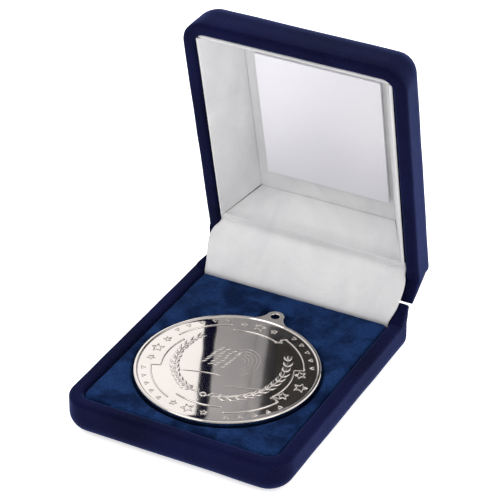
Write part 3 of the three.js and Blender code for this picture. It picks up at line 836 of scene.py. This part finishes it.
# ---- plate ----
def plate():
    """The engraving plate on the lid's panel: round corners and eased edges."""
    left, right, front, rear = -20.9, 23.8, -28.1, 22.7
    low, high = LID_RIM_Z + 12.9, LID_RIM_Z + 13.8
    corner_r, edge_r, steps = 0.6, 0.12, 8
    corners = [(right - corner_r, front + corner_r, -90), (right - corner_r, rear - corner_r, 0),
               (left + corner_r, rear - corner_r, 90), (left + corner_r, front + corner_r, 180)]
    levels = [(low, edge_r), (low + edge_r * 0.3, edge_r * 0.3), (low + edge_r, 0.0),
              (high - edge_r, 0.0), (high - edge_r * 0.3, edge_r * 0.3), (high, edge_r)]
    verts = []
    for z, inset in levels:
        for cx, cy, start in corners:
            for i in range(steps + 1):
                a = math.radians(start + 90 * i / steps)
                verts.append((*on_circle(cx, cy, corner_r - inset, a), z))
    around = len(corners) * (steps + 1)
    faces = tube_faces(len(levels), around)
    obj = mesh_object("engraving_plate", verts, faces, PLATE, lid=True, smooth=False)
    fix_normals(obj)
    # Hidden from mirrors, so that the medal shows the deep shade behind the plate instead.
    obj.visible_glossy = False
    finish_piece(obj, "lid", "lid_plate")


# ---- medal ----
FIELD_R = 28.55                      # the field inside the raised rim
FIELD_Z = MEDAL_TOP - 0.4
FIELD_RINGS = 22                     # rings of faces across the field, so that it can ripple
SEGMENTS = 256                       # faces round the disc
SUNK = 0.12                          # how far raised work starts below the field
RING_INNER, RING_OUTER = 21.3, 24.4  # the stepped ring's two radii


class Relief:
    """Collects the medal's raised work as closed little solids on the field."""

    def __init__(self):
        self.verts = []
        self.faces = []

    def add(self, verts, faces):
        start = len(self.verts)
        self.verts += verts
        self.faces += [tuple(start + i for i in f) for f in faces]

    def add_bar(self, verts, rings, around):
        """Adds a solid lofted through rings of points, with its two ends closed."""
        ends = [tuple(range(around)), tuple((rings - 1) * around + i for i in reversed(range(around)))]
        self.add(verts, ring_bands(rings, around) + ends)

    def ridge(self, points, width, height, closed=False, taper=0.0):
        """A round-topped line along points [x, y] about the medal's middle."""
        section = [(-0.5, -SUNK), (-0.42, 0.45 * height), (-0.22, 0.88 * height), (0.0, height),
                   (0.22, 0.88 * height), (0.42, 0.45 * height), (0.5, -SUNK)]
        count = len(points)
        verts = []
        for k, (x, y) in enumerate(points):
            if closed:
                before, after = points[k - 1], points[(k + 1) % count]
            else:
                before, after = points[max(k - 1, 0)], points[min(k + 1, count - 1)]
            dx, dy = after[0] - before[0], after[1] - before[1]
            size = math.hypot(dx, dy) or 1.0
            nx, ny = dy / size, -dx / size
            t = k / max(count - 1, 1)
            fade = 1 - taper * abs(2 * t - 1) ** 3
            for across, up in section:
                w = across * width * fade
                z = FIELD_Z + (up * fade if up > 0 else up)
                verts.append((x + nx * w, MEDAL_Y + y + ny * w, z))
        if closed:
            self.add(verts, ring_bands(count, len(section), wrap=True))
        else:
            self.add_bar(verts, count, len(section))

    def outlined(self, corners, step, width, height, closed=True):
        """A ridge with sharp corners."""
        self.ridge(resample(corners, step, closed), width, height, closed)

    def leaf(self, x, y, angle, length, width, height=0.28, bend=0.0):
        """A pointed leaf with a raised midrib, from its stalk end."""
        steps = 7
        verts = []
        for k in range(steps + 1):
            t = k / steps
            half = width / 2 * math.sin(math.pi * t ** 0.8) ** 0.85 if 0 < t < 1 else 0.02
            a = angle + bend * (t - 0.5)
            px = x + length * t * math.cos(a)
            py = y + length * t * math.sin(a)
            nx, ny = -math.sin(a), math.cos(a)
            top = height * (0.35 + 0.65 * math.sin(math.pi * min(t + 0.08, 1.0)))
            section = [(-1, -SUNK), (-0.55, 0.62 * top), (0, top), (0.55, 0.5 * top), (1, -SUNK)]
            for across, up in section:
                verts.append((px + nx * half * across, MEDAL_Y + py + ny * half * across,
                              FIELD_Z + up))
        self.add_bar(verts, steps + 1, len(section))


def polar_point(r, degrees):
    a = math.radians(degrees)
    return (r * math.cos(a), r * math.sin(a))


def arc_points(r, start, end, step):
    count = int((end - start) / step)
    return [polar_point(r, start + (end - start) * i / count) for i in range(count + 1)]


def resample(points, step, closed):
    """Points about `step` apart along straight lines between the given ones."""
    out = []
    count = len(points)
    for k in range(count if closed else count - 1):
        a, b = points[k], points[(k + 1) % count]
        n = max(1, int(math.hypot(b[0] - a[0], b[1] - a[1]) / step))
        out += [between(a, b, i / n) for i in range(n)]
    if not closed:
        out.append(points[-1])
    return out


def stepped_ring(relief):
    """Eight arcs at two radii, alternating, with open or stepped joins between them."""
    for k in range(8):
        start = 23.5 + 45 * k
        middle = start + 22.5
        r = RING_INNER if k % 2 == 1 else RING_OUTER
        relief.ridge(arc_points(r, start + 0.6, start + 44.4, 1.5), 0.62, 0.32)
        if k in (0, 1, 4, 7):
            step = [polar_point(RING_INNER, start), polar_point(RING_OUTER, start)]
            relief.outlined(step, 0.4, 0.4, 0.22, closed=False)
        if r == RING_OUTER:
            for offset in range(-2, 3):
                triangle(relief, 27.0, middle + offset * 9.5, 0.85)
    zigzag = [(20.6, 70.5), (22.4, 66.0), (23.0, 70.0), (25.0, 66.5)]
    tip = [(RING_INNER, -23.5), (22.6, -18.5), (RING_OUTER, -24.5)]
    for places in (zigzag, tip):
        relief.outlined([polar_point(*at) for at in places], 0.3, 0.4, 0.24, closed=False)


def triangle(relief, r, degrees, size):
    cx, cy = polar_point(r, degrees)
    corners = [on_circle(cx, cy, size, math.radians(degrees + 180 + 120 * k)) for k in range(3)]
    relief.outlined(corners, 0.25, 0.32, 0.22)


def stars(relief):
    """Outlined five-pointed stars: (radius, degrees, size, turn) on the ring."""
    for r, degrees, size, turn in (
        (25.4, 2, 2.3, 20), (23.5, 17.5, 1.9, 60), (23.2, -14, 1.9, -30),
        (25.0, 93, 2.0, 90), (25.2, 105, 1.1, 70), (25.2, 81, 1.1, 100),
        (25.0, -92, 2.1, -90), (25.3, -104, 1.2, -60), (25.3, -79, 1.2, -110),
        (25.2, 181, 2.1, 180), (25.2, 194, 1.3, 150), (25.2, 168, 1.3, 200),
    ):
        cx, cy = polar_point(r, degrees)
        corners = [on_circle(cx, cy, size if k % 2 == 0 else size * 0.45, math.radians(turn + k * 36))
                   for k in range(10)]
        relief.outlined(corners, 0.3, 0.36, 0.26)


def branch_point(side, t):
    """A laurel branch as a gentle curve that opens outward towards its tip."""
    sweep = 124 if side > 0 else 118
    return polar_point(16.4 + 3.4 * t ** 3, -90 + side * (6 + sweep * t))


def branch_heading(side, t):
    """A branch's point at t, and the angle that it heads in there."""
    x, y = branch_point(side, t)
    ahead_x, ahead_y = branch_point(side, t + 0.01)
    return x, y, math.atan2(ahead_y - y, ahead_x - x)


def wreath(relief):
    """Two laurel branches from the foot of the medal up both sides."""
    draw = random.Random(7)
    pairs = 13
    for side in (-1, 1):
        stem = [branch_point(side, t) for t in np.linspace(0.0, 1.0, 60)]
        relief.ridge(stem, 0.4, 0.22, taper=0.6)
        for k in range(pairs):
            t = (k + 1.2) / (pairs + 0.4)
            x, y, angle = branch_heading(side, t)
            length = 4.1 - 0.9 * t + draw.uniform(-0.25, 0.25)
            for spread in (-1, 1):
                lean = angle + spread * math.radians(33 + draw.uniform(-6, 6))
                relief.leaf(x, y, lean, length, 1.45 - 0.35 * t, height=0.34, bend=-0.35 * spread)
        relief.leaf(*branch_heading(side, 1.0), 2.6, 0.9)


def ribbon(relief):
    """A tied ribbon where the two branches cross."""
    for side in (-1, 1):
        loops = []
        for t in np.linspace(0.0, 1.0, 41):
            loops.append(polar_point(15.6 + 0.9 * math.sin(t * math.pi * 5), -90 + side * (2 + 26 * t)))
        relief.ridge(loops, 0.42, 0.24, taper=0.5)
    knot = [(x, y - 16.4) for x, y in (polar_point(0.9, a) for a in range(0, 360, 20))]
    relief.ridge(knot, 0.6, 0.32, closed=True)


def motif(relief):
    """A generic middle: an arched ground line, a slanted bundle of strokes and faint rings."""
    ground = [(-12.4 + 12.6 * i / 20, -7.9 + 2.9 * math.sin(math.pi * 0.5 * i / 20)) for i in range(21)]
    curve = [polar_point(10.3 + 6.0 * t * t, -67 + 49 * t) for t in np.linspace(0.0, 1.0, 31)]
    for line in (ground, curve):
        relief.ridge(line, 0.45, 0.24, taper=0.4)
    draw = random.Random(3)
    for row in range(7):
        for column in range(4):
            x = -9.0 + column * 2.3 + row * 0.25 + draw.uniform(-0.3, 0.3)
            y = -1.0 + row * 1.55 + draw.uniform(-0.2, 0.2)
            angle = math.radians(52 + draw.uniform(-9, 9))
            relief.leaf(x, y, angle, 2.3 + draw.uniform(-0.4, 0.4), 0.75, height=0.24)
    for r in (2.2, 3.6, 5.0, 6.4, 7.8):
        ring = [(2.2 + r * 0.8 * math.cos(math.radians(a)), 4.4 + r * math.sin(math.radians(a)))
                for a in range(-60, 130, 6)]
        relief.ridge(ring, 0.35, 0.06, taper=0.8)


def lug_mesh():
    """The hanging lug: shoulders that sweep up from the rim into a round eye."""
    eye_y, eye_r, hole_r = MEDAL_R + 3.4, 3.1, 1.45
    lug_t, bevel, lift = 2.0, 0.4, 0.5
    foot, waist, eye = (-7.6, MEDAL_R - 0.95), (-4.3, MEDAL_R + 0.4), (-eye_r, eye_y)
    shoulder = [(-8.2, MEDAL_R - 1.8), foot]
    for i in range(1, 13):
        t = i / 12
        shoulder.append(tuple((1 - t) ** 2 * a + 2 * t * (1 - t) * b + t * t * c
                              for a, b, c in zip(foot, waist, eye)))
    over_eye = [on_circle(0.0, eye_y, eye_r, math.pi - math.pi * i / 24) for i in range(1, 24)]
    outer = shoulder + over_eye + [(-x, y) for x, y in reversed(shoulder)]
    hole = [on_circle(0.0, eye_y, hole_r, 2 * math.pi * i / 32) for i in range(32)]
    curve = new_curve("lug", "2D", bevel)
    curve.fill_mode = "BOTH"
    curve.extrude = (lug_t / 2 - bevel) * MM
    curve.offset = -bevel * MM
    for points in (outer, hole):
        poly_line(curve, [(x * MM, (MEDAL_Y + y) * MM, 0.0) for x, y in points], cyclic=True)
    mesh = curve_mesh(curve)
    mesh.transform(Matrix.Translation((0.0, 0.0, (MEDAL_Z + lift + lug_t / 2) * MM)))
    return mesh


def medal_disc():
    """The struck disc as a turned profile of [radius, z], with a field fine enough to ripple."""
    top = MEDAL_TOP
    profile = [(0.0, MEDAL_Z), (20.0, MEDAL_Z), (28.6, MEDAL_Z), (29.5, MEDAL_Z + 0.06)]
    low_r, high_r = 0.5, 0.6  # rounding of the disc's lower and upper edges
    for degrees in range(-60, 91, 25):
        r, z = (low_r, MEDAL_Z + low_r) if degrees < 0 else (high_r, top - high_r)
        profile.append(on_circle(MEDAL_R - r, z, r, math.radians(degrees)))
    profile += [(29.15, top), (29.0, top - 0.04), (28.85, top - 0.18), (28.72, FIELD_Z + 0.05)]
    profile += [(FIELD_R * (1 - i / FIELD_RINGS), FIELD_Z) for i in range(FIELD_RINGS)]
    verts = [(0.0, MEDAL_Y, profile[0][1])]
    for r, z in profile[1:]:
        for i in range(SEGMENTS):
            verts.append((*on_circle(0.0, MEDAL_Y, r, 2 * math.pi * i / SEGMENTS), z))
    last = len(verts)
    verts.append((0.0, MEDAL_Y, FIELD_Z))
    rings = len(profile) - 1
    start = 1 + (rings - 1) * SEGMENTS
    faces = [(0, 1 + (i + 1) % SEGMENTS, 1 + i) for i in range(SEGMENTS)]
    faces += ring_bands(rings, SEGMENTS, start=1)
    faces += [(start + i, start + (i + 1) % SEGMENTS, last) for i in range(SEGMENTS)]
    rippled = []
    for x, y, z in verts:
        if abs(z - FIELD_Z) < 1e-6:
            z += 0.018 * noise.noise(Vector((x / 8, y / 8, 1.0)))
        rippled.append((x, y, z))
    return rippled, faces


def medal():
    relief = Relief()
    relief.add(*medal_disc())
    stepped_ring(relief)
    stars(relief)
    wreath(relief)
    ribbon(relief)
    motif(relief)
    obj = mesh_object("struck_medal", relief.verts, relief.faces, SILVER)
    fix_normals(obj)
    bm = bmesh.new()
    bm.from_mesh(obj.data)
    bm.from_mesh(lug_mesh())
    bm.to_mesh(obj.data)
    bm.free()
    smooth_shade(obj.data)
    finish_piece(obj, "medal", "medal")


# ---- hinge ----
def spring(word, side):
    """A torsion spring wound round the pin, with a leg down to the base leaf."""
    node = "hinge_spring_" + word
    low, _ = cad(node)
    wire_r, coil_r, turns, steps = 0.36, 1.28, 8.5, 170
    x_in, x_out = side * 0.8, side * 7.25
    points = []
    for i in range(steps + 1):
        t = i / steps
        a = math.pi * (2 * turns * t) + math.pi
        points.append((x_in + (x_out - x_in) * t, *on_circle(PIVOT[1], PIVOT[2], coil_r, a)))
    leg_start = points[-1]
    leg_end = (x_out, low[1] + wire_r, low[2] + 0.7)
    points += [between(leg_start, leg_end, i / 8) for i in range(1, 9)]
    curve = new_curve(node, "3D", wire_r)
    curve.use_fill_caps = True
    poly_line(curve, [[c * MM for c in point] for point in points])
    mesh = curve_mesh(curve)
    mesh.materials.clear()
    mesh.materials.append(STEEL)
    smooth_shade(mesh)
    finish_piece(place("spring_" + word, mesh), "base", node)


def keep_cad_pieces():
    """Pieces whose CAD shape is right take a better material."""
    looks = [
        (PLASTIC, ["base_shell", "lid_shell"]),
        (PAPER, ["base_underside_sheet"]),
        (FOAM, ["insert_foam"]),
        (CARD, ["insert_board", "insert_riser", "lid_lining_board"]),
        (TAPE, ["plate_tape"]),
        (STEEL, ["hinge_pin", "base_hinge_leaf", "base_hinge_rivet_left", "base_hinge_rivet_right",
                 "lid_hinge_leaf", "lid_hinge_rivet_left", "lid_hinge_rivet_right"]),
    ]
    for material, names in looks:
        for name in names:
            for slot in frame["nodes"][name].material_slots:
                slot.material = material


# ---- stage ----
def stage():
    """A white floor that glows a little, like paper lit from below."""
    half, z = 1500.0, -0.2
    corners = [(-half, -half, z), (half, -half, z), (half, half, z), (-half, half, z)]
    floor = mesh_object("floor", corners, [(0, 1, 2, 3)], FLOOR, smooth=False)
    fill(FLOOR.node_tree, FLOOR.node_tree.nodes["Principled BSDF"],
         Emission_Color=(1.0, 1.0, 1.0, 1.0), Emission_Strength=0.6)


def soft_light(name, spot, aim, size, power):
    data = bpy.data.lights.new(name, "AREA")
    data.shape = "DISK"
    data.size = size
    data.energy = power
    lamp = place(name, data)
    lamp.location = spot
    lamp.rotation_euler = (Vector(aim) - Vector(spot)).to_track_quat("-Z", "Y").to_euler()


def world():
    """Bright screens stand behind the box, and the room is dim in front of it."""
    sky = bpy.data.worlds.new("studio")
    bpy.context.scene.world = sky
    sky.use_nodes = True
    tree = sky.node_tree
    direction = add_node(tree, "TexCoord").outputs["Generated"]
    split = add_node(tree, "SeparateXYZ", Vector=direction)
    level = add_node(tree, "MapRange", Value=split.outputs["Y"], From_Min=-0.8, From_Max=0.7,
                     To_Min=0.55, To_Max=1.8)
    fill(tree, tree.nodes["Background"], Color=(1.0, 0.985, 0.97, 1.0),
         Strength=level.outputs["Result"])


def camera():
    """Looks down on the open box from its front right, a little over 0.7 m away."""
    azimuth, elevation, roll = (math.radians(d) for d in (27.363, 32.204, 0.35))
    distance = 0.76666
    target = Vector((-12.214, 31.477, 31.985)) * MM
    data = bpy.data.cameras.new("camera")
    data.sensor_width = 36.0
    data.lens = 168.2
    data.clip_start = 0.01
    data.clip_end = 20.0
    eye = place("camera", data)
    away = Vector((math.sin(azimuth) * math.cos(elevation), -math.cos(azimuth) * math.cos(elevation),
                   math.sin(elevation)))
    eye.location = target + away * distance
    look = (-away).to_track_quat("-Z", "Y").to_matrix().to_4x4()
    turn = Matrix.Rotation(roll, 4, "Z")
    eye.matrix_world = Matrix.Translation(eye.location) @ look @ turn
    bpy.context.scene.camera = eye


bpy.context.scene.view_settings.view_transform = "Standard"
camera()
world()
stage()
soft_light("key", (-0.5, -0.7, 1.1), (0, 0, 0.03), 0.8, 5.0)
soft_light("side", (1.1, -0.3, 0.7), (0, 0, 0.05), 0.7, 2.5)

cover("base_cover", BASE_COVER, lid=False, seed=1.0)
cover("lid_cover", LID_COVER, lid=True, seed=5.0)
for side, word, base_stations, lid_stations in (
    (-1, "left", BASE_TUCK_LEFT, LID_TUCK_LEFT),
    (1, "right", BASE_TUCK_RIGHT, LID_TUCK_RIGHT),
):
    for body, stations, root, direction in (
        ("base", base_stations, BASE_TUCK_ROOT, BASE_TUCK_DIRECTION),
        ("lid", lid_stations, LID_TUCK_ROOT, LID_TUCK_DIRECTION),
    ):
        node = body + "_gusset_" + word
        crumple_tuck(tuck(node, stations, side, body == "lid"), body, node, root, direction)
pad()
lining()
hinge_flap()
plate()
medal()
spring("left", -1)
spring("right", 1)
keep_cad_pieces()
